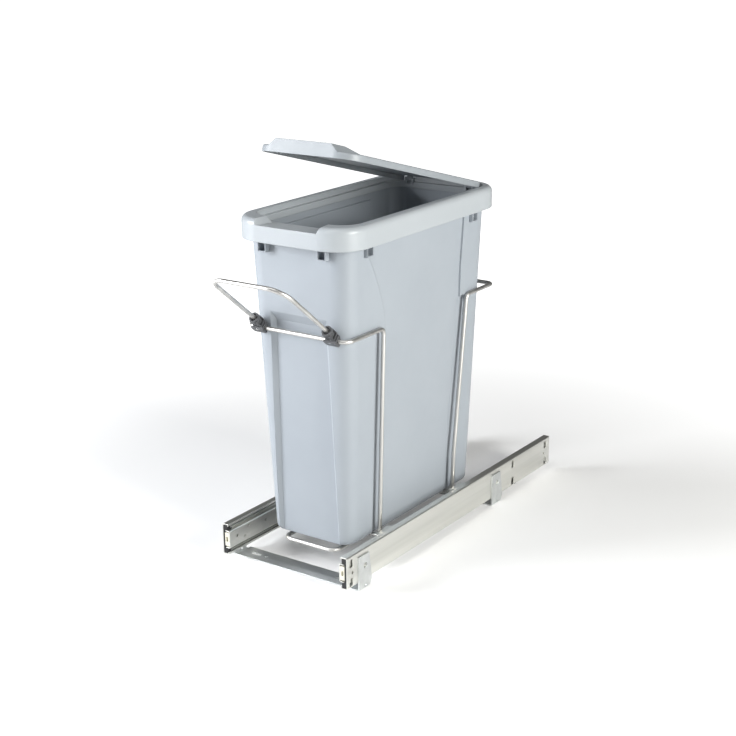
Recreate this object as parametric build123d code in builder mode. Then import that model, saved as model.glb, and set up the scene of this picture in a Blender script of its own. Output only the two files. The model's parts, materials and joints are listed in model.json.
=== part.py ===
from build123d import *
import os
from math import atan2, cos, radians, sin

# Pull-out waste bin unit: slides on floor strips, wire carriage, pull handle, bin with lid.
# Millimetres. X to the right, Y rearward, Z up. The origin lies on the cabinet floor, midway
# between the two screw holes of the front floor strip.

# ---------------------------------------------------------------- driving dimensions
# slides
SLIDE_LENGTH = 558.8
SLIDE_HALF_HEIGHT = 22.85
SLIDE_MID_Z = 34.25
SLIDE_OUTER_X = 106.6
SLIDE_INNER_X = 93.9
SLIDE_FRONT_Y = -39.4
SHEET = 1.2
MIDDLE_LENGTH = 545.0
MIDDLE_FRONT_GAP = 6.0
INNER_LENGTH = 551.0
CAGE_START_Y = 115.6
CAGE_LENGTH = 260.0
OUTER_BALL_R = 2.2
INNER_BALL_R = 1.8
OUTER_BALL_X = 100.8
INNER_BALL_X = 100.0
OUTER_BALL_OFFSET = 19.6
INNER_BALL_OFFSET = 14.7
MIDDLE_HALF = 17.55
INNER_HALF = 13.05
BALL_CLEARANCE = 0.05
BALLS_PER_ROW = 8

# floor strips
STRIP_SHEET = 2.0
STRIP_WIDTH = 30.0
TAB_TOP_Z = 49.5
REAR_STRIP_Y = 350.8
FLOOR_HOLE_X = 62.0
FLOOR_HOLE_R = 2.5
FLOOR_SLOT_X = 80.0
FLOOR_SLOT = (16.5, 5.5)

# bin
BIN_Y = 180.0
BIN_BOTTOM_Z = 38.7
BIN_TOP_Z = 478.8
# width, length and corner radius at the bottom and at the top
BIN_BOTTOM = (134.4, 322.4, 24.0)
BIN_TOP = (168.0, 354.5, 26.0)
BIN_WALL = 2.5
PANEL_DEPTH = 3.0
GROOVE_DEPTH = 6.0
RECESS_DEPTH = 6.0

# catches under the rim, on all four walls of the bin
CATCH_SIZE = (13.6, 14.0, 15.0)
CATCH_RIB = 1.3
CATCH_FLOOR = 1.6
CATCH_X = 48.6
CATCH_Y = (48.0, 309.0)
CATCH_FACE_X = 88.8
CATCH_FACE_Y = (-4.9, 364.9)

# rim ring
RIM_SIZE = (194.3, 391.2)
RIM_CORNER_R = 46.9
RIM_BOTTOM_Z = 458.5
RIM_TOP_Z = 489.0
RIM_WALL = 2.5
LEDGE_Z = 481.0
STEP_HALF_X = 82.3
STEP_Y = (9.1, 363.1)
MOUTH_HALF_X = 76.8
MOUTH_Y = (14.6, 352.6)

# lid, hinged on the rim ring and modelled ajar
HINGE_Y = 354.6
HINGE_Z = 483.7
HINGE_X = 52.0
PIN_R = 1.6
PIN_CLEARANCE = 0.05
KNUCKLE_R = 3.2
KNUCKLE_WIDTH = 8.0
HINGE_GAP = 0.4
EAR_SPAN = 15.2
LID_AJAR = 15.2
LID_HALF_X = 79.7
LID_FRONT = -344.0
LID_REAR = 1.2
LID_BASE = -2.2
LID_TOP = 7.1
LID_WALL = 2.2
LID_CORNER_R = 30.0
HUMP_TOP = 16.1
HUMP_HALF_X = 55.0
HUMP_FOOT = 5.0

# wire carriage
WIRE_R = 3.0
HOOP_Z = 338.0
HOOP_FLOOR_Z = 35.4
HOOP_HALF_X = 82.0
FRONT_HOOP_Y = 2.6
FRONT_LEG_Y = 86.2
REAR_HOOP_Y = 373.5
LOOP_Z = 29.6
LOOP_HALF_X = 44.0
LOOP_Y = (20.1, 340.0)
BRACKET_SHEET = 1.5
BRACKET_Z = (24.5, 46.0)
BRACKET_HALF_Y = 18.0

# handle
HANDLE_TILT = 39.0
HANDLE_HALF_X = 60.0
HANDLE_REACH = 135.9
HANDLE_RISE = 4.1
HANDLE_CORNER_R = 26.0
WIRE_START = 8.5
BORE_CLEARANCE = 0.05
SADDLE_HALF_X = 9.0
BLOCK_HALF_X = 6.5
JAW_HALF_X = 9.5
COLLAR_R = 7.3
COLLAR_REACH = (17.0, 21.8)
COLLAR_RECESS_R = 5.3
COLLAR_RECESS_DEPTH = 3.0
POCKET_SIDE = 9.2
POCKET_DEPTH = 2.9
SCREW_REACH = 5.2
SCREW_R = 1.3
SCREW_LENGTH = 9.4
SCREW_HEAD_R = 2.0
SCREW_HEAD_HEIGHT = 1.8

slide_rear_y = SLIDE_FRONT_Y + SLIDE_LENGTH
middle_front_y = SLIDE_FRONT_Y + MIDDLE_FRONT_GAP
rear_leg_y = 277.7
AT_FOOT = (Align.CENTER, Align.CENTER, Align.MIN)


# ---------------------------------------------------------------- helpers
def section(y):
    """Plane across the unit at y: local x is X, local y is Z, seen from the front."""
    return Plane.XZ.offset(-y)


def save(builder, name):
    """Label a finished piece and write it under its own name."""
    builder.part.label = name
    export_step(builder.part, f"parts/{name}.step")


def save_pair(builder, name):
    """Write a right-hand piece, and its mirror image for the left."""
    with BuildPart() as twin:
        mirror(builder.part, about=Plane.YZ)
    save(builder, f"right_{name}")
    save(twin, f"left_{name}")


def channel(profile, web_x, tip_x, half, sheet, bend):
    """Draw a C-section in the open sketch: web at web_x, flanges reaching to tip_x."""
    inward = 1 if tip_x > web_x else -1
    inner_web = web_x + inward * sheet
    with Locations(((web_x + tip_x) / 2, SLIDE_MID_Z)):
        Rectangle(abs(tip_x - web_x), 2 * half)
    fillet(profile.vertices().filter_by(lambda v: abs(v.X - web_x) < 0.01), bend)
    with Locations(((inner_web + tip_x) / 2, SLIDE_MID_Z)):
        Rectangle(abs(tip_x - inner_web), 2 * (half - sheet), mode=Mode.SUBTRACT)
    corners = profile.vertices().filter_by(lambda v: abs(v.X - inner_web) < 0.01)
    fillet(corners, bend - sheet / 2)


def race(x, offset, ball_r):
    """Cut the two ball races of the open sketch, above and below the slide's middle."""
    with Locations((x, SLIDE_MID_Z + offset), (x, SLIDE_MID_Z - offset)):
        Circle(ball_r + BALL_CLEARANCE, mode=Mode.SUBTRACT)


def ball_places(x, offset):
    """Centres of the two rows of balls of one cage."""
    pitch = CAGE_LENGTH / BALLS_PER_ROW
    first = CAGE_START_Y + pitch / 2
    return [
        (x, first + pitch * i, SLIDE_MID_Z + side * offset)
        for i in range(BALLS_PER_ROW)
        for side in (1, -1)
    ]


def wire_along(points, radii):
    """Round wire swept along straight runs joined by tangent bends."""
    with BuildPart() as wire:
        with BuildLine() as route:
            FilletPolyline(*points, radius=radii)
        with BuildSketch(Plane(route.line @ 0, z_dir=route.line % 0)):
            Circle(WIRE_R)
        sweep()
    return wire.part


# ---------------------------------------------------------------- slides
with BuildPart() as outer_member:
    with BuildSketch(section(SLIDE_FRONT_Y)) as outer_profile:
        channel(outer_profile, SLIDE_OUTER_X, 96.6, SLIDE_HALF_HEIGHT, SHEET, 2.0)
        lip_offset = SLIDE_HALF_HEIGHT - SHEET - 0.8
        with Locations((97.2, SLIDE_MID_Z + lip_offset), (97.2, SLIDE_MID_Z - lip_offset)):
            Rectangle(1.2, 2.2)
        race(OUTER_BALL_X, OUTER_BALL_OFFSET, OUTER_BALL_R)
    extrude(amount=-SLIDE_LENGTH)
    # keyhole windows and screw holes of the web: front end, rear third, rear end
    with BuildSketch(Plane.YZ.offset(SLIDE_OUTER_X)):
        for distance in (9.5, 440.9, 545.0):
            with Locations((SLIDE_FRONT_Y + distance, 46.8), (SLIDE_FRONT_Y + distance, 19.6)):
                RectangleRounded(7.4, 11.4, 0.8)
        with Locations((SLIDE_FRONT_Y + 12.6, 32.6), (SLIDE_FRONT_Y + 541.3, 33.5)):
            Circle(2.0)
    extrude(amount=-2 * SHEET, mode=Mode.SUBTRACT)

with BuildPart() as middle_member:
    with BuildSketch(section(middle_front_y)) as middle_profile:
        channel(middle_profile, 104.2, 97.0, MIDDLE_HALF, SHEET, 1.6)
        race(OUTER_BALL_X, OUTER_BALL_OFFSET, OUTER_BALL_R)
        race(INNER_BALL_X, INNER_BALL_OFFSET, INNER_BALL_R)
    extrude(amount=-MIDDLE_LENGTH)

bracket_centres = (FRONT_LEG_Y, rear_leg_y)
rivet_places = [
    (centre + side * 13.0, SLIDE_MID_Z) for centre in bracket_centres for side in (1, -1)
]

with BuildPart() as inner_member:
    with BuildSketch(section(SLIDE_FRONT_Y)) as inner_profile:
        channel(inner_profile, SLIDE_INNER_X, 101.4, INNER_HALF, SHEET, 1.6)
        race(INNER_BALL_X, INNER_BALL_OFFSET, INNER_BALL_R)
    extrude(amount=-INNER_LENGTH)
    with BuildSketch(Plane.YZ.offset(SLIDE_INNER_X)):
        for distance, height in ((16.2, 35.8), (33.0, 29.1), (41.7, 41.7), (80.5, 36.5)):
            with Locations((SLIDE_FRONT_Y + distance, height)):
                Circle(2.0)
        with Locations(*rivet_places):
            Circle(2.1)
    extrude(amount=2 * SHEET, mode=Mode.SUBTRACT)

with BuildPart() as outer_retainer:
    with BuildSketch(section(CAGE_START_Y)) as outer_cage_profile:
        channel(outer_cage_profile, 105.1, 98.0, OUTER_BALL_OFFSET + 0.4, 0.7, 1.0)
    extrude(amount=-CAGE_LENGTH)
    with Locations(*ball_places(OUTER_BALL_X, OUTER_BALL_OFFSET)):
        Cylinder(OUTER_BALL_R + 0.15, 3.0, mode=Mode.SUBTRACT)

with BuildPart() as outer_balls:
    with Locations(*ball_places(OUTER_BALL_X, OUTER_BALL_OFFSET)):
        Sphere(OUTER_BALL_R)

with BuildPart() as inner_retainer:
    with BuildSketch(section(CAGE_START_Y)) as inner_cage_profile:
        channel(inner_cage_profile, 102.5, 97.4, INNER_BALL_OFFSET + 0.4, 0.7, 1.0)
    extrude(amount=-CAGE_LENGTH)
    with Locations(*ball_places(INNER_BALL_X, INNER_BALL_OFFSET)):
        Cylinder(INNER_BALL_R + 0.15, 3.0, mode=Mode.SUBTRACT)

with BuildPart() as inner_balls:
    with Locations(*ball_places(INNER_BALL_X, INNER_BALL_OFFSET)):
        Sphere(INNER_BALL_R)

with BuildPart() as middle_cap:
    # two buffers in front of the ball tracks, joined by a web in front of the rail's web
    with BuildSketch(section(SLIDE_FRONT_Y)) as cap_profile:
        with Locations((101.5, SLIDE_MID_Z + 17.35), (101.5, SLIDE_MID_Z - 17.35)):
            RectangleRounded(6.8, 7.7, 1.5)
        with Locations((103.9, SLIDE_MID_Z)):
            Rectangle(2.0, 30.0)
    extrude(amount=-MIDDLE_FRONT_GAP)
    # tongues that plug into the middle rail
    with BuildSketch(section(middle_front_y)):
        with Locations((100.3, SLIDE_MID_Z + 14.6), (100.3, SLIDE_MID_Z - 14.6)):
            Rectangle(4.4, 2.4)
    extrude(amount=-4.0)

with BuildPart() as front_block:
    with BuildSketch(section(SLIDE_FRONT_Y)) as block_profile:
        with Locations((98.7, SLIDE_MID_Z)):
            RectangleRounded(7.2, 20.0, 1.2)
    extrude(amount=-14.0)
    with BuildSketch(section(SLIDE_FRONT_Y)):
        with Locations((98.9, SLIDE_MID_Z)):
            Rectangle(3.4, 7.0)
    extrude(amount=-3.0, mode=Mode.SUBTRACT)

with BuildPart() as rear_bumpers:
    with BuildSketch(section(slide_rear_y - 6.8)):
        with Locations((101.2, SLIDE_MID_Z), (-101.2, SLIDE_MID_Z)):
            RectangleRounded(8.4, 26.0, 1.5)
    extrude(amount=-6.8)


# ---------------------------------------------------------------- floor strips
def cross_member(centre_y):
    """Floor strip whose ends bend up as tabs against the outer rails."""
    tab_x = SLIDE_OUTER_X + STRIP_SHEET
    with BuildPart() as strip:
        with BuildSketch(section(centre_y - STRIP_WIDTH / 2)) as outline:
            with Locations((0, TAB_TOP_Z / 2)):
                Rectangle(2 * tab_x, TAB_TOP_Z)
            fillet(outline.vertices().group_by(Axis.Y)[0], 3.2)
            with Locations((0, STRIP_SHEET + TAB_TOP_Z / 2)):
                Rectangle(2 * SLIDE_OUTER_X, TAB_TOP_Z, mode=Mode.SUBTRACT)
            fillet(outline.vertices().filter_by(lambda v: abs(v.Y - STRIP_SHEET) < 0.01), 1.2)
        extrude(amount=-STRIP_WIDTH)
        with BuildSketch(Plane.XY):
            with Locations((FLOOR_SLOT_X, centre_y), (-FLOOR_SLOT_X, centre_y)):
                SlotOverall(*FLOOR_SLOT)
            with Locations((FLOOR_HOLE_X, centre_y), (-FLOOR_HOLE_X, centre_y)):
                Circle(FLOOR_HOLE_R)
        extrude(amount=STRIP_SHEET, mode=Mode.SUBTRACT)
        for side in (1, -1):
            # the tab's rear edge leans forward and its lower rear corner is cut off
            with BuildSketch(Plane.YZ.offset(side * SLIDE_OUTER_X)):
                with Locations((centre_y, 0)):
                    Polygon((9.0, 50.0), (15.0, 12.0), (15.1, 50.0), align=None)
                    Polygon((15.1, -0.1), (15.1, 10.0), (9.0, -0.1), align=None)
            extrude(amount=4.0, both=True, mode=Mode.SUBTRACT)
            # assembly hole, and the relief hole at the bend
            with BuildSketch(Plane.YZ.offset(side * SLIDE_OUTER_X)):
                with Locations((centre_y, SLIDE_MID_Z)):
                    Circle(4.0)
                with Locations((centre_y, 4.5)):
                    Circle(1.6)
            extrude(amount=side * 3.0, mode=Mode.SUBTRACT)
    return strip


front_cross_member = cross_member(0.0)
rear_cross_member = cross_member(REAR_STRIP_Y)


# ---------------------------------------------------------------- bin
side_view = Plane((0, BIN_Y, BIN_BOTTOM_Z), x_dir=(0, 1, 0), z_dir=(1, 0, 0))
front_lean = atan2((BIN_TOP[1] - BIN_BOTTOM[1]) / 2, BIN_TOP_Z - BIN_BOTTOM_Z)


def bin_form(inset):
    """Right half of the bin's plain body, all walls moved in by inset."""
    with BuildPart() as form:
        for z, (width, length, corner) in ((BIN_BOTTOM_Z, BIN_BOTTOM), (BIN_TOP_Z, BIN_TOP)):
            with BuildSketch(Plane.XY.offset(z)):
                with Locations((0, BIN_Y)):
                    RectangleRounded(width - 2 * inset, length - 2 * inset, corner - inset)
                with Locations((-BIN_TOP[0] / 2, BIN_Y)):
                    Rectangle(BIN_TOP[0], BIN_TOP[1], mode=Mode.SUBTRACT)
        loft()
    return form.part


def side_panel(inset):
    """Tool for the wide panel of the right wall."""
    with BuildPart() as tool:
        with BuildSketch(side_view):
            with BuildLine():
                Polyline((-84.0, -12.0), (-85.0, 299.0), (-86.8, 318.0))
                ThreePointArc((-86.8, 318.0), (-101.8, 356.5), (-126.1, 401.8))
                Polyline(
                    (-126.1, 401.8),
                    (-137.5, 420.0),
                    (109.4, 420.0),
                    (105.0, 345.0),
                    (105.9, 299.0),
                    (93.0, -12.0),
                    (-84.0, -12.0),
                )
            make_face()
            if inset:
                offset(amount=inset)
        extrude(amount=BIN_TOP[0])
        add(bin_form(inset + PANEL_DEPTH), mode=Mode.SUBTRACT)
    return tool.part


def side_grooves(inset):
    """Tool for the two upright grooves of the right wall that the wire legs stand in."""
    with BuildPart() as tool:
        with BuildSketch(side_view):
            with BuildLine():
                Polyline((-84.5, 287.0), (-82.0, -12.0), (-104.0, -12.0), (-106.5, 287.0))
                ThreePointArc((-106.5, 287.0), (-95.5, 298.0), (-84.5, 287.0))
            make_face()
            with BuildLine():
                Polyline((125.5, 287.0), (108.5, -12.0), (85.5, -12.0), (98.5, 287.0))
                ThreePointArc((98.5, 287.0), (112.0, 299.5), (125.5, 287.0))
            make_face()
            if inset:
                offset(amount=inset)
        extrude(amount=BIN_TOP[0])
        add(bin_form(inset + GROOVE_DEPTH), mode=Mode.SUBTRACT)
    return tool.part


def front_recess(inset):
    """Tool for the front wall: a broad recess that runs out at the bottom."""
    wall = Plane(
        (0, BIN_Y - BIN_BOTTOM[1] / 2 + inset, BIN_BOTTOM_Z),
        x_dir=(1, 0, 0),
        z_dir=(0, -cos(front_lean), -sin(front_lean)),
    )
    side_run = 5.3
    top_run = 12.0
    with BuildPart() as tool:
        for depth in (-1.0, RECESS_DEPTH):
            narrow = side_run * depth / RECESS_DEPTH - inset
            lower = top_run * depth / RECESS_DEPTH - inset
            with BuildSketch(wall.offset(-depth)):
                with BuildLine():
                    Polyline(
                        (narrow - 53.2, -12.0),
                        (53.2 - narrow, -12.0),
                        (46.4 - narrow, 323.0 - lower),
                        (narrow - 46.4, 323.0 - lower),
                        close=True,
                    )
                make_face()
        loft()
    return tool.part


def bin_half(inset, foot_radius):
    """Right half of the bin's body with its hollows, all walls moved in by inset."""
    with BuildPart() as half:
        add(bin_form(inset))
        if inset:
            split(bisect_by=Plane.XY.offset(BIN_BOTTOM_Z + inset), keep=Keep.TOP)
        foot = half.faces().sort_by(Axis.Z)[0].edges()
        fillet(foot.filter_by(lambda edge: edge.center().X > 0.01), foot_radius)
        add(side_panel(inset), mode=Mode.SUBTRACT)
        add(side_grooves(inset), mode=Mode.SUBTRACT)
        add(front_recess(inset), mode=Mode.SUBTRACT)
    return half.part


outer_half = bin_half(0, 8.0)

with BuildPart() as bin_outside:
    add(outer_half)
    mirror(about=Plane.YZ)

with BuildPart() as bin_body:
    add(outer_half)
    add(bin_half(BIN_WALL, 5.5), mode=Mode.SUBTRACT)
    mirror(about=Plane.YZ)

with BuildPart() as rim_catches:
    # each has two ribs and a floor, and is open at the top and outward
    width, depth, height = CATCH_SIZE
    catch_z = RIM_BOTTOM_Z - height / 2
    for side in (1, -1):
        for x, y, turn in (
            (side * CATCH_X, CATCH_FACE_Y[0] + depth / 2, 0),
            (side * CATCH_X, CATCH_FACE_Y[1] - depth / 2, 0),
            (side * (CATCH_FACE_X - depth / 2), CATCH_Y[0], 90),
            (side * (CATCH_FACE_X - depth / 2), CATCH_Y[1], 90),
        ):
            with Locations(Location((x, y, catch_z), (0, 0, turn))):
                Box(width, depth, height)
            with Locations(Location((x, y, catch_z + CATCH_FLOOR), (0, 0, turn))):
                Box(width - 2 * CATCH_RIB, 2 * depth, height, mode=Mode.SUBTRACT)
    add(bin_outside.part, mode=Mode.SUBTRACT)


# ---------------------------------------------------------------- rim ring
def rim_block(half_x, front, rear, corner, low, high):
    """Upright rounded block between two heights."""
    with BuildPart() as block:
        with BuildSketch(Plane.XY.offset(low)):
            with Locations((0, (front + rear) / 2)):
                RectangleRounded(2 * half_x, rear - front, corner)
        extrude(amount=high - low)
    return block


rim_front = BIN_Y - RIM_SIZE[1] / 2
rim_rear = BIN_Y + RIM_SIZE[1] / 2
rim_half = RIM_SIZE[0] / 2

rim_outside = rim_block(rim_half, rim_front, rim_rear, RIM_CORNER_R, RIM_BOTTOM_Z, RIM_TOP_Z)
with BuildPart() as rim_shell:
    add(rim_outside.part)
    fillet(rim_shell.faces().sort_by(Axis.Z)[-1].edges(), 7.5)
    fillet(rim_shell.faces().sort_by(Axis.Z)[0].edges(), 1.0)

with BuildPart() as rim_channel:
    # space under the ring's top, outside the step that holds the lid
    under = rim_block(
        rim_half - RIM_WALL,
        rim_front + RIM_WALL,
        rim_rear - RIM_WALL,
        RIM_CORNER_R - RIM_WALL,
        RIM_BOTTOM_Z - 1.0,
        RIM_TOP_Z - RIM_WALL,
    )
    add(under.part)
    fillet(rim_channel.faces().sort_by(Axis.Z)[-1].edges(), 5.0)
    step_wall = rim_block(
        STEP_HALF_X + 2.3, STEP_Y[0] - 2.3, STEP_Y[1] + 2.3, 34.3, BIN_TOP_Z, RIM_TOP_Z
    )
    add(step_wall.part, mode=Mode.SUBTRACT)

notch_plan = ((rim_front - 1.0, 50.0, 54.0), (STEP_Y[0] + 1.0, 39.0, 51.4))


def notch(margin):
    """Finger notch across the front of the ring, widening outward and upward."""
    floor_z = max(LEDGE_Z - margin, BIN_TOP_Z)
    with BuildPart() as tool:
        for y, floor_half, top_half in notch_plan:
            with BuildSketch(section(y)):
                with BuildLine():
                    Polyline(
                        (-floor_half - margin, floor_z),
                        (floor_half + margin, floor_z),
                        (top_half + margin, RIM_TOP_Z + 0.5),
                        (-top_half - margin, RIM_TOP_Z + 0.5),
                        close=True,
                    )
                make_face()
        loft()
    return tool.part


with BuildPart() as notch_lining:
    add(notch(RIM_WALL))
    add(rim_shell.part, mode=Mode.INTERSECT)

with BuildPart() as rim_ring:
    add(rim_shell.part)
    add(rim_channel.part, mode=Mode.SUBTRACT)
    # rib that stands on the bin's top edge
    with BuildSketch(Plane.XY.offset(BIN_TOP_Z)):
        with Locations((0, BIN_Y)):
            RectangleRounded(*BIN_TOP)
            RectangleRounded(
                BIN_TOP[0] - 2 * BIN_WALL,
                BIN_TOP[1] - 2 * BIN_WALL,
                BIN_TOP[2] - BIN_WALL,
                mode=Mode.SUBTRACT,
            )
    extrude(amount=8.0)
    add(notch_lining.part)
    step = rim_block(STEP_HALF_X, STEP_Y[0], STEP_Y[1], 32.0, LEDGE_Z, RIM_TOP_Z + 1.0)
    add(step.part, mode=Mode.SUBTRACT)
    # lip inside the bin's mouth, below the ledge
    lip = rim_block(MOUTH_HALF_X + 1.6, MOUTH_Y[0] - 1.6, MOUTH_Y[1] + 1.6, 21.0, 472.0, 479.5)
    add(lip.part)
    mouth = rim_block(MOUTH_HALF_X, MOUTH_Y[0], MOUTH_Y[1], 19.5, 450.0, RIM_TOP_Z + 1.0)
    add(mouth.part, mode=Mode.SUBTRACT)
    add(notch(0.0), mode=Mode.SUBTRACT)
    # hinge pockets in the rear ledge, each between two ears that hold a pin
    for x in (HINGE_X, -HINGE_X):
        with BuildSketch(Plane.YZ.offset(x - EAR_SPAN / 2)):
            with Locations((HINGE_Y, HINGE_Z)):
                Circle(KNUCKLE_R)
            with Locations((HINGE_Y, (BIN_TOP_Z + HINGE_Z) / 2)):
                Rectangle(2 * KNUCKLE_R, HINGE_Z - BIN_TOP_Z)
        extrude(amount=EAR_SPAN)
        with Locations((x, HINGE_Y, HINGE_Z)):
            Box(
                KNUCKLE_WIDTH + 2 * HINGE_GAP,
                2 * (KNUCKLE_R + HINGE_GAP),
                4 * KNUCKLE_R,
                mode=Mode.SUBTRACT,
            )
        with Locations(Location((x, HINGE_Y, HINGE_Z), (0, 90, 0))):
            Cylinder(PIN_R, EAR_SPAN, mode=Mode.SUBTRACT)

with BuildPart() as hinge_pins:
    for x in (HINGE_X, -HINGE_X):
        with Locations(Location((x, HINGE_Y, HINGE_Z), (0, 90, 0))):
            Cylinder(PIN_R, EAR_SPAN)


# ---------------------------------------------------------------- lid
tilt = radians(LID_AJAR)
lid_plane = Plane((0, HINGE_Y, HINGE_Z), x_dir=(1, 0, 0), z_dir=(0, sin(tilt), cos(tilt)))


def lid_outline(inset, low, high):
    """Rounded block in the lid's own frame, its sides moved in by inset."""
    front = LID_FRONT + inset
    rear = LID_REAR - inset
    with BuildPart() as block:
        with BuildSketch(lid_plane.offset(low)):
            with Locations((0, (front + rear) / 2)):
                RectangleRounded(2 * (LID_HALF_X - inset), rear - front, LID_CORNER_R - inset)
        extrude(amount=high - low)
    return block


def finger_hump(inset, low, high):
    """Raised finger pull at the lid's front edge, sloping down to both sides and rearward."""
    front = LID_FRONT + inset
    with BuildPart() as block:
        for z, half, rear in ((low, HUMP_HALF_X - inset, -276.0), (high, 44.5 - inset, -312.0)):
            with BuildSketch(lid_plane.offset(z)):
                with Locations((0, (front + rear - inset) / 2)):
                    Rectangle(2 * half, rear - inset - front)
        loft()
    return block


with BuildPart() as lid_hump:
    add(finger_hump(0.0, LID_TOP - 0.5, HUMP_TOP).part)
    # foot that carries the front of the hump straight down over the lid's rounded edge
    with BuildSketch(lid_plane.offset(LID_TOP - HUMP_FOOT)):
        with Locations((0, LID_FRONT + HUMP_FOOT)):
            Rectangle(2 * HUMP_HALF_X, 2 * HUMP_FOOT)
    extrude(amount=HUMP_FOOT)
    add(lid_outline(0.0, LID_BASE, HUMP_TOP + 1.0).part, mode=Mode.INTERSECT)

with BuildPart() as lid:
    add(lid_outline(0.0, LID_BASE, LID_TOP).part)
    fillet(lid.faces().sort_by(Axis((0, 0, 0), lid_plane.z_dir))[-1].edges(), 2.4)
    add(lid_hump.part)
    add(lid_outline(LID_WALL, LID_BASE - 1.0, LID_TOP - LID_WALL).part, mode=Mode.SUBTRACT)
    add(finger_hump(LID_WALL, LID_TOP - LID_WALL - 0.5, HUMP_TOP - LID_WALL).part, mode=Mode.SUBTRACT)
    for x in (HINGE_X, -HINGE_X):
        # room for the rim's ears, then the knuckle that turns on the pin
        with BuildSketch(lid_plane.offset(LID_BASE - 1.0)):
            with Locations((x, LID_REAR - KNUCKLE_R)):
                Rectangle(EAR_SPAN + 4.0, 2 * KNUCKLE_R + 3.0)
        extrude(amount=LID_TOP - LID_WALL - LID_BASE + 1.0, mode=Mode.SUBTRACT)
        with BuildSketch(lid_plane):
            with Locations((x, (LID_REAR - KNUCKLE_R) / 2)):
                Rectangle(KNUCKLE_WIDTH, LID_REAR + KNUCKLE_R)
        extrude(amount=LID_TOP - LID_WALL)
        with Locations(Location((x, HINGE_Y, HINGE_Z), (0, 90, 0))):
            Cylinder(KNUCKLE_R, KNUCKLE_WIDTH)
            Cylinder(PIN_R + PIN_CLEARANCE, EAR_SPAN, mode=Mode.SUBTRACT)


# ---------------------------------------------------------------- wire carriage
def closed_hoop(points, radii):
    """Hoop drawn as its right half, from the middle below to the middle above."""
    half = wire_along(points, radii)
    with BuildPart() as hoop:
        add(half)
        mirror(half, about=Plane.YZ)
    return hoop


lower_half_x = 72.8
front_hoop = closed_hoop(
    [
        (0, FRONT_LEG_Y, HOOP_FLOOR_Z),
        (lower_half_x, FRONT_LEG_Y, HOOP_FLOOR_Z),
        (HOOP_HALF_X, FRONT_LEG_Y, HOOP_Z),
        (HOOP_HALF_X, FRONT_HOOP_Y, HOOP_Z),
        (0, FRONT_HOOP_Y, HOOP_Z),
    ],
    [10.0, 8.0, 12.0],
)
rear_hoop = closed_hoop(
    [
        (0, rear_leg_y, HOOP_FLOOR_Z),
        (lower_half_x, rear_leg_y, HOOP_FLOOR_Z),
        (74.9, rear_leg_y, 96.0),
        (HOOP_HALF_X, 299.0, HOOP_Z),
        (HOOP_HALF_X, REAR_HOOP_Y, HOOP_Z),
        (0, REAR_HOOP_Y, HOOP_Z),
    ],
    [10.0, 80.0, 8.0, 10.0],
)
floor_loop = closed_hoop(
    [
        (0, LOOP_Y[0], LOOP_Z),
        (LOOP_HALF_X, LOOP_Y[0], LOOP_Z),
        (LOOP_HALF_X, LOOP_Y[1], LOOP_Z),
        (0, LOOP_Y[1], LOOP_Z),
    ],
    [12.0, 12.0],
)


def carriage_bracket(centre_y):
    """Right-hand L plate from the inner rail's web to a wire leg."""
    web_x = SLIDE_INNER_X - BRACKET_SHEET
    low, high = BRACKET_Z
    leg_side_x = 75.9
    with BuildPart() as plate:
        with BuildSketch(section(centre_y - BRACKET_HALF_Y)) as outline:
            with BuildLine():
                Polyline(
                    (SLIDE_INNER_X, low),
                    (SLIDE_INNER_X, high),
                    (leg_side_x, high),
                    (leg_side_x, high - BRACKET_SHEET),
                    (web_x, high - BRACKET_SHEET),
                    (web_x, low),
                    close=True,
                )
            make_face()
            fillet(outline.vertices().group_by(Axis.Y)[-1].sort_by(Axis.X)[-1], 2.0)
        extrude(amount=-2 * BRACKET_HALF_Y)
        with BuildSketch(Plane.YZ.offset(web_x)):
            with Locations(*[p for p in rivet_places if abs(p[0] - centre_y) < BRACKET_HALF_Y]):
                Circle(2.1)
        extrude(amount=BRACKET_SHEET, mode=Mode.SUBTRACT)
    return plate


front_bracket = carriage_bracket(FRONT_LEG_Y)
rear_bracket = carriage_bracket(rear_leg_y)

with BuildPart() as bracket_rivets:
    web_x = SLIDE_INNER_X - BRACKET_SHEET
    for side in (1, -1):
        for y, z in rivet_places:
            for start, length, radius in (
                (web_x - 1.2, 1.2, 3.8),
                (web_x, BRACKET_SHEET + SHEET, 2.05),
                (SLIDE_INNER_X + SHEET, 1.0, 3.4),
            ):
                with BuildSketch(Plane.YZ.offset(side * start)):
                    with Locations((y, z)):
                        Circle(radius)
                extrude(amount=side * length)


# ---------------------------------------------------------------- handle
handle_lean = radians(HANDLE_TILT)
# through the front bar's axis; local y runs down the handle, so reach is along minus y
bar_plane = Plane(
    (0, FRONT_HOOP_Y, HOOP_Z), x_dir=(1, 0, 0), z_dir=(0, sin(handle_lean), cos(handle_lean))
)
handle_plane = bar_plane.offset(HANDLE_RISE)
up_handle = -handle_plane.y_dir


def on_handle(x, reach):
    """Point at the level of the handle's wire, reach millimetres up from the bar."""
    return handle_plane.from_local_coords(Vector(x, -reach, 0))


handle_loop = closed_hoop(
    [
        on_handle(0, HANDLE_REACH),
        on_handle(HANDLE_HALF_X, HANDLE_REACH),
        on_handle(HANDLE_HALF_X, WIRE_START),
    ],
    [HANDLE_CORNER_R],
)


def clip_section(x):
    """Plane across the bar at x: local x up the handle, local y its rearward normal."""
    origin = bar_plane.from_local_coords(Vector(x, 0, 0))
    return Plane(origin, x_dir=up_handle, z_dir=(-1, 0, 0))


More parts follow.
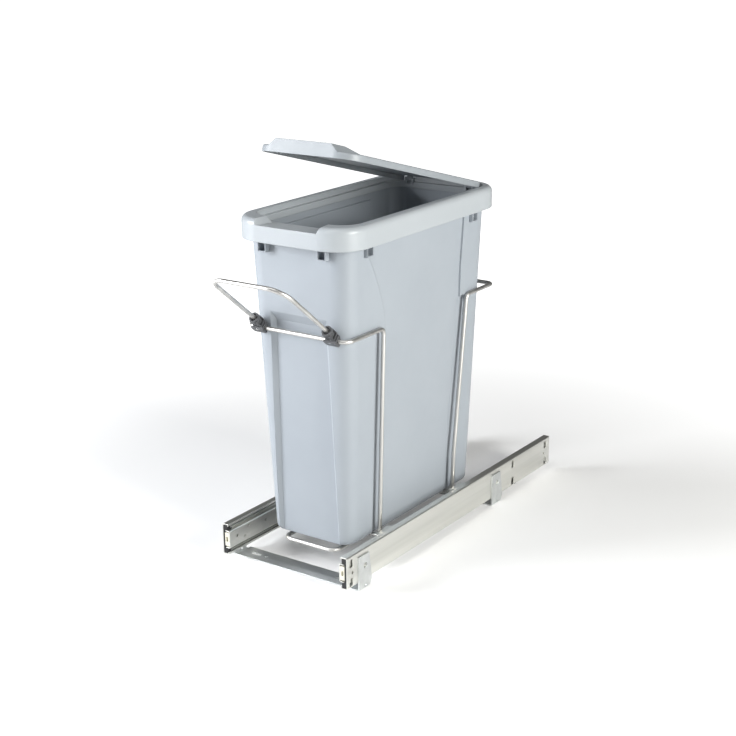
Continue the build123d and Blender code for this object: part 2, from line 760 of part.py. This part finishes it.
# side outlines about the bar's axis; the backs stay close to the bar to clear the bin
saddle_corners = (
    (6.0, -2.8),
    (6.0, 7.2),
    (3.0, 7.2),
    (-0.5, 4.9),
    (-3.2, 3.1),
    (-4.3, 0.0),
    (-4.3, -2.8),
)
block_corners = ((3.2, -2.0), (19.0, -2.0), (19.0, 8.6), (17.6, 9.5), (8.0, 9.4), (3.2, 7.2))
jaw_corners = ((-4.3, -3.1), (7.5, -3.1), (7.5, -5.4), (6.7, -6.2), (-3.5, -6.2), (-4.3, -5.4))

# screw from below, between the bar and the end of the handle's wire
screw_foot = bar_plane.from_local_coords(Vector(HANDLE_HALF_X, -SCREW_REACH, -6.4))
screw_plane = Plane(screw_foot, z_dir=bar_plane.z_dir)

with BuildPart() as clip_body:
    for corners, half in ((saddle_corners, SADDLE_HALF_X), (block_corners, BLOCK_HALF_X)):
        with BuildSketch(clip_section(HANDLE_HALF_X + half)):
            with BuildLine():
                Polyline(*corners, close=True)
            make_face()
        extrude(amount=2 * half)
    # collar where the wire enters, with a recess round the wire
    collar_start, collar_end = COLLAR_REACH
    with Locations(Plane(on_handle(HANDLE_HALF_X, collar_start), z_dir=up_handle)):
        Cylinder(COLLAR_R, collar_end - collar_start, align=AT_FOOT)
    with Locations(
        Plane(on_handle(HANDLE_HALF_X, collar_end - COLLAR_RECESS_DEPTH), z_dir=up_handle)
    ):
        Cylinder(COLLAR_RECESS_R, COLLAR_RECESS_DEPTH, align=AT_FOOT, mode=Mode.SUBTRACT)
    with Locations(Plane(on_handle(HANDLE_HALF_X, WIRE_START), z_dir=up_handle)):
        Cylinder(WIRE_R, collar_end - WIRE_START, align=AT_FOOT, mode=Mode.SUBTRACT)
    # slot that drops over the bar
    with BuildSketch(clip_section(HANDLE_HALF_X + SADDLE_HALF_X)):
        Circle(WIRE_R + BORE_CLEARANCE)
        with Locations((0, -WIRE_R / 2)):
            Rectangle(2 * (WIRE_R + BORE_CLEARANCE), WIRE_R)
    extrude(amount=2 * SADDLE_HALF_X, mode=Mode.SUBTRACT)
    # square pockets in both sides, beside the wire
    for side in (1, -1):
        with BuildSketch(clip_section(HANDLE_HALF_X + side * BLOCK_HALF_X)):
            with Locations((12.8, 3.6)):
                RectangleRounded(POCKET_SIDE, POCKET_SIDE, 1.0)
        extrude(amount=side * POCKET_DEPTH, mode=Mode.SUBTRACT)
    with Locations(screw_plane):
        Cylinder(SCREW_R, SCREW_LENGTH, align=AT_FOOT, mode=Mode.SUBTRACT)

with BuildPart() as clip_jaw:
    with BuildSketch(clip_section(HANDLE_HALF_X + JAW_HALF_X)):
        with BuildLine():
            Polyline(*jaw_corners, close=True)
        make_face()
    extrude(amount=2 * JAW_HALF_X)
    with Locations(screw_plane):
        Cylinder(SCREW_R, SCREW_LENGTH, align=AT_FOOT, mode=Mode.SUBTRACT)
        Cylinder(SCREW_HEAD_R, SCREW_HEAD_HEIGHT, align=AT_FOOT, mode=Mode.SUBTRACT)

with BuildPart() as right_screw:
    with Locations(screw_plane):
        Cylinder(SCREW_HEAD_R, SCREW_HEAD_HEIGHT, align=AT_FOOT)
        Cylinder(SCREW_R, SCREW_LENGTH, align=AT_FOOT)

with BuildPart() as clip_screws:
    add(right_screw.part)
    mirror(right_screw.part, about=Plane.YZ)

# ---------------------------------------------------------------- write the pieces
os.makedirs("parts", exist_ok=True)

for builder, name in (
    (outer_member, "outer_member"),
    (middle_member, "intermediate_member"),
    (inner_member, "inner_member"),
    (outer_retainer, "outer_retainer"),
    (outer_balls, "outer_balls"),
    (inner_retainer, "inner_retainer"),
    (inner_balls, "inner_balls"),
    (middle_cap, "intermediate_cap"),
    (front_block, "front_block"),
    (front_bracket, "front_carriage_bracket"),
    (rear_bracket, "rear_carriage_bracket"),
    (clip_body, "clip_body"),
    (clip_jaw, "clip_jaw"),
):
    save_pair(builder, name)

for builder, name in (
    (front_cross_member, "front_cross_member"),
    (rear_cross_member, "rear_cross_member"),
    (rear_bumpers, "rear_bumpers"),
    (front_hoop, "front_hoop"),
    (rear_hoop, "rear_hoop"),
    (floor_loop, "floor_loop"),
    (bracket_rivets, "bracket_rivets"),
    (handle_loop, "handle_loop"),
    (clip_screws, "clip_screws"),
    (bin_body, "bin_body"),
    (rim_catches, "rim_catches"),
    (rim_ring, "rim_ring"),
    (hinge_pins, "hinge_pins"),
    (lid, "lid"),
):
    save(builder, name)
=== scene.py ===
import json
from math import radians

import bpy
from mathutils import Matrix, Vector

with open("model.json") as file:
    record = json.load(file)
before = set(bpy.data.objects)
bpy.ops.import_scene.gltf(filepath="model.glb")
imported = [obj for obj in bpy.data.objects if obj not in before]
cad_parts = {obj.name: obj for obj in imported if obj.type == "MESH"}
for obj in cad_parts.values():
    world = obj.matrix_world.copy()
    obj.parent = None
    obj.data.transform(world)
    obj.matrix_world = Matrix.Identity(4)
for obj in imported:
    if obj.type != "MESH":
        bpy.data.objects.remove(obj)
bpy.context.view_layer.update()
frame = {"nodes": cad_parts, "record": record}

# Looks, light and camera of the pull-out waste bin unit. Metres, in the row frame.

nodes = frame["nodes"]
scene = bpy.context.scene

WHITE = (1.0, 1.0, 1.0)
NO_STRETCH = (1.0, 1.0, 1.0)

# parts of a noise's range over which colour and roughness change
COLOUR_BAND = (0.35, 0.65)
ROUGHNESS_BAND = (0.3, 0.7)
NOISE_ROUGHNESS = 0.55
EDGE_SAMPLES = 6

# plastic: broad clouds of tone, finer patches of gloss, and a sandy grain
CLOUD_SCALE = 9.0
GLOSS_SCALE = 60.0
GLOSS_SPREAD = (-0.04, 0.05)
GRAIN_SCALE = 1500.0
GRAIN_STRENGTH = 0.12
GRAIN_DEPTH = 0.0003
PLASTIC_SPECULAR = 0.45

# steel: streaks along the direction in which it was drawn or rolled
STREAK_SCALE = 60.0
STREAK_SPREAD = (-0.06, 0.08)
STREAK_STRENGTH = 0.05
STREAK_DEPTH = 0.0002


# ---------------------------------------------------------------- materials
class Shader:
    """A material's node tree, filled in step by step."""

    def __init__(self, name, roughness, metallic=0.0, specular=0.5):
        self.material = bpy.data.materials.new(name)
        self.material.use_nodes = True
        self.tree = self.material.node_tree
        self.surface = self.tree.nodes["Principled BSDF"]
        self.surface.inputs["Roughness"].default_value = roughness
        self.surface.inputs["Metallic"].default_value = metallic
        self.surface.inputs["Specular IOR Level"].default_value = specular
        self.normal = None

    def add(self, kind, **values):
        """New node; each value goes to the input whose name it has, underscores as spaces."""
        node = self.tree.nodes.new(kind)
        for name, value in values.items():
            node.inputs[name.replace("_", " ")].default_value = value
        return node

    def link(self, source, target):
        self.tree.links.new(source, target)

    def place(self, stretch=NO_STRETCH):
        """Coordinates in metres, stretched along the row's axes."""
        where = self.add("ShaderNodeTexCoord")
        mapping = self.add("ShaderNodeMapping", Scale=stretch)
        self.link(where.outputs["Object"], mapping.inputs["Vector"])
        return mapping.outputs["Vector"]

    def noise(self, scale, detail=2.0, stretch=NO_STRETCH):
        """Noise factor, smooth in space."""
        node = self.add(
            "ShaderNodeTexNoise", Scale=scale, Detail=detail, Roughness=NOISE_ROUGHNESS
        )
        self.link(self.place(stretch), node.inputs["Vector"])
        return node.outputs["Fac"]

    def colour(self, factor, low, high):
        """Base colour that goes from low to high with the factor."""
        ramp = self.add("ShaderNodeValToRGB")
        stops = ramp.color_ramp.elements
        for stop, position, colour in zip(stops, COLOUR_BAND, (low, high)):
            stop.position = position
            stop.color = (*colour, 1.0)
        self.link(factor, ramp.inputs["Fac"])
        self.link(ramp.outputs["Color"], self.surface.inputs["Base Color"])

    def rough(self, factor, middle, spread):
        """Roughness that goes with the factor from one end of the spread to the other."""
        scaled = self.add(
            "ShaderNodeMapRange",
            From_Min=ROUGHNESS_BAND[0],
            From_Max=ROUGHNESS_BAND[1],
            To_Min=middle + spread[0],
            To_Max=middle + spread[1],
        )
        self.link(factor, scaled.inputs["Value"])
        self.link(scaled.outputs["Result"], self.surface.inputs["Roughness"])

    def soft_edges(self, radius):
        """Edges catch the light as if they were rounded."""
        edge = self.add("ShaderNodeBevel", Radius=radius)
        edge.samples = EDGE_SAMPLES
        self.normal = edge.outputs["Normal"]
        self.link(self.normal, self.surface.inputs["Normal"])

    def grain(self, height, strength, depth):
        """Fine relief from a height factor, on top of the soft edges."""
        bump = self.add("ShaderNodeBump", Strength=strength, Distance=depth)
        self.link(height, bump.inputs["Height"])
        self.link(self.normal, bump.inputs["Normal"])
        self.link(bump.outputs["Normal"], self.surface.inputs["Normal"])


def plastic(name, low, high, roughness, edge):
    """Injection-moulded plastic with a fine sandy grain."""
    shader = Shader(name, roughness, specular=PLASTIC_SPECULAR)
    shader.colour(shader.noise(CLOUD_SCALE, detail=3.0), low, high)
    shader.rough(shader.noise(GLOSS_SCALE), roughness, GLOSS_SPREAD)
    shader.soft_edges(edge)
    shader.grain(shader.noise(GRAIN_SCALE), GRAIN_STRENGTH, GRAIN_DEPTH)
    return shader.material


def steel(name, low, high, roughness, edge, stretch):
    """Plated steel, drawn or rolled along the direction whose stretch is small."""
    shader = Shader(name, roughness, metallic=1.0)
    streaks = shader.noise(STREAK_SCALE, detail=4.0, stretch=stretch)
    shader.colour(streaks, low, high)
    shader.rough(streaks, roughness, STREAK_SPREAD)
    shader.soft_edges(edge)
    shader.grain(streaks, STREAK_STRENGTH, STREAK_DEPTH)
    return shader.material


# slot: darkest and lightest tone, roughness, radius that its edges seem to have
plastics = {
    "bin_plastic": ((0.300, 0.330, 0.365), (0.315, 0.345, 0.380), 0.40, 0.0016),
    "rim_plastic": ((0.360, 0.387, 0.410), (0.375, 0.402, 0.425), 0.32, 0.0012),
    "lid_plastic": ((0.255, 0.278, 0.300), (0.270, 0.293, 0.315), 0.40, 0.0012),
    "black_plastic": ((0.012, 0.012, 0.013), (0.020, 0.020, 0.021), 0.42, 0.0004),
    "cream_plastic": ((0.66, 0.64, 0.54), (0.72, 0.70, 0.60), 0.40, 0.0004),
    "clip_plastic": ((0.060, 0.062, 0.068), (0.085, 0.087, 0.093), 0.38, 0.0005),
    "bumper_rubber": ((0.015, 0.015, 0.015), (0.030, 0.030, 0.030), 0.75, 0.0004),
}

# slot: material name, tones, roughness, edge radius, stretch of the streaks
steels = {
    "zinc_plate": (
        "zinc_plate", (0.73, 0.73, 0.69), (0.85, 0.85, 0.81), 0.34, 0.0004, (1.0, 0.03, 1.0)
    ),
    "strip_steel": (
        "strip_steel", (0.64, 0.66, 0.66), (0.76, 0.78, 0.78), 0.42, 0.0005, (0.05, 1.0, 1.0)
    ),
    "wire": (
        "satin_wire", (0.58, 0.57, 0.55), (0.68, 0.67, 0.65), 0.40, 0.0003, (1.0, 1.0, 0.1)
    ),
    "bright_steel": (
        "bright_steel", (0.66, 0.66, 0.66), (0.76, 0.76, 0.76), 0.16, 0.0002, NO_STRETCH
    ),
    "retainer_steel": (
        "retainer_steel", (0.50, 0.48, 0.42), (0.60, 0.58, 0.52), 0.36, 0.0002, (1.0, 0.05, 1.0)
    ),
}

looks = {slot: plastic(slot, *values) for slot, values in plastics.items()}
looks.update({slot: steel(*values) for slot, values in steels.items()})

for entry in frame["record"]["subparts"]:
    mesh = nodes[entry["node"]].data
    mesh.materials.clear()
    mesh.materials.append(looks[entry["material_slot"]])


# ---------------------------------------------------------------- floor and background
FLOOR_SIZE = 30.0
FLOOR_PLACE = (0.0, 0.2, -0.0002)
FLOOR_BASE = 0.86
NEAR_GLOW = 0.13
FAR_GLOW = 1.0
GLOW_REACH = (0.45, 1.5)
AMBIENT = 0.13


def floor_white():
    """White floor that fades, for the camera alone, to the white of the background."""
    shader = Shader("floor_white", 0.9, specular=0.1)
    shader.surface.inputs["Base Color"].default_value = (FLOOR_BASE, FLOOR_BASE, FLOOR_BASE, 1.0)
    shader.surface.inputs["Emission Color"].default_value = (*WHITE, 1.0)
    distance = shader.add("ShaderNodeVectorMath")
    distance.operation = "LENGTH"
    shader.link(shader.place(), distance.inputs[0])
    fade = shader.add("ShaderNodeMapRange", From_Min=GLOW_REACH[0], From_Max=GLOW_REACH[1])
    fade.interpolation_type = "SMOOTHSTEP"
    fade.inputs["To Min"].default_value = NEAR_GLOW
    fade.inputs["To Max"].default_value = FAR_GLOW
    shader.link(distance.outputs["Value"], fade.inputs["Value"])
    ray = shader.add("ShaderNodeLightPath")
    glow = shader.add("ShaderNodeMath")
    glow.operation = "MULTIPLY"
    shader.link(fade.outputs["Result"], glow.inputs[0])
    shader.link(ray.outputs["Is Camera Ray"], glow.inputs[1])
    shader.link(glow.outputs["Value"], shader.surface.inputs["Emission Strength"])
    return shader.material


bpy.ops.mesh.primitive_plane_add(size=FLOOR_SIZE, location=FLOOR_PLACE)
floor = bpy.context.object
floor.name = "floor"
floor.data.materials.append(floor_white())

# the background is white for the camera and dim for the object
world = bpy.data.worlds.new("studio")
scene.world = world
world.use_nodes = True
sky = world.node_tree
backdrop = sky.nodes["Background"]
backdrop.inputs["Color"].default_value = (*WHITE, 1.0)
ray = sky.nodes.new("ShaderNodeLightPath")
level = sky.nodes.new("ShaderNodeMapRange")
level.inputs["To Min"].default_value = AMBIENT
level.inputs["To Max"].default_value = 1.0
sky.links.new(ray.outputs["Is Camera Ray"], level.inputs["Value"])
sky.links.new(level.outputs["Result"], backdrop.inputs["Strength"])


# ---------------------------------------------------------------- lights and camera
BIN_MIDDLE = (0.0, 0.18, 0.3)
CAMERA_LENS_MM = 72.08
CAMERA_SENSOR_MM = 36.0
CAMERA_REACH = 100.0
CAMERA_PLACE = (1.14675, -1.47005, 0.87915)
CAMERA_TURN = (radians(72.449), radians(0.586), radians(34.844))


def softbox(name, place, size, power, colour=WHITE):
    """Large rectangular light at place, turned towards the middle of the bin."""
    light = bpy.data.lights.new(name, "AREA")
    light.shape = "RECTANGLE"
    light.size, light.size_y = size
    light.energy = power
    light.color = colour
    lamp = bpy.data.objects.new(name, light)
    scene.collection.objects.link(lamp)
    lamp.location = place
    towards = Vector(BIN_MIDDLE) - Vector(place)
    lamp.rotation_euler = towards.to_track_quat("-Z", "Y").to_euler()


softbox("left_light", (-1.9, -1.5, 0.9), (1.2, 1.4), 110.0, colour=(0.965, 0.98, 1.0))
softbox("right_light", (2.35, -0.2, 0.9), (0.9, 1.3), 76.0, colour=(1.0, 0.995, 0.955))
softbox("top_light", (0.1, -0.8, 2.2), (0.8, 0.8), 11.0)

camera_data = bpy.data.cameras.new("camera")
camera_data.lens = CAMERA_LENS_MM
camera_data.sensor_width = CAMERA_SENSOR_MM
camera_data.clip_end = CAMERA_REACH
camera = bpy.data.objects.new("camera", camera_data)
scene.collection.objects.link(camera)
camera.location = CAMERA_PLACE
camera.rotation_euler = CAMERA_TURN
scene.camera = camera

scene.view_settings.view_transform = "Standard"
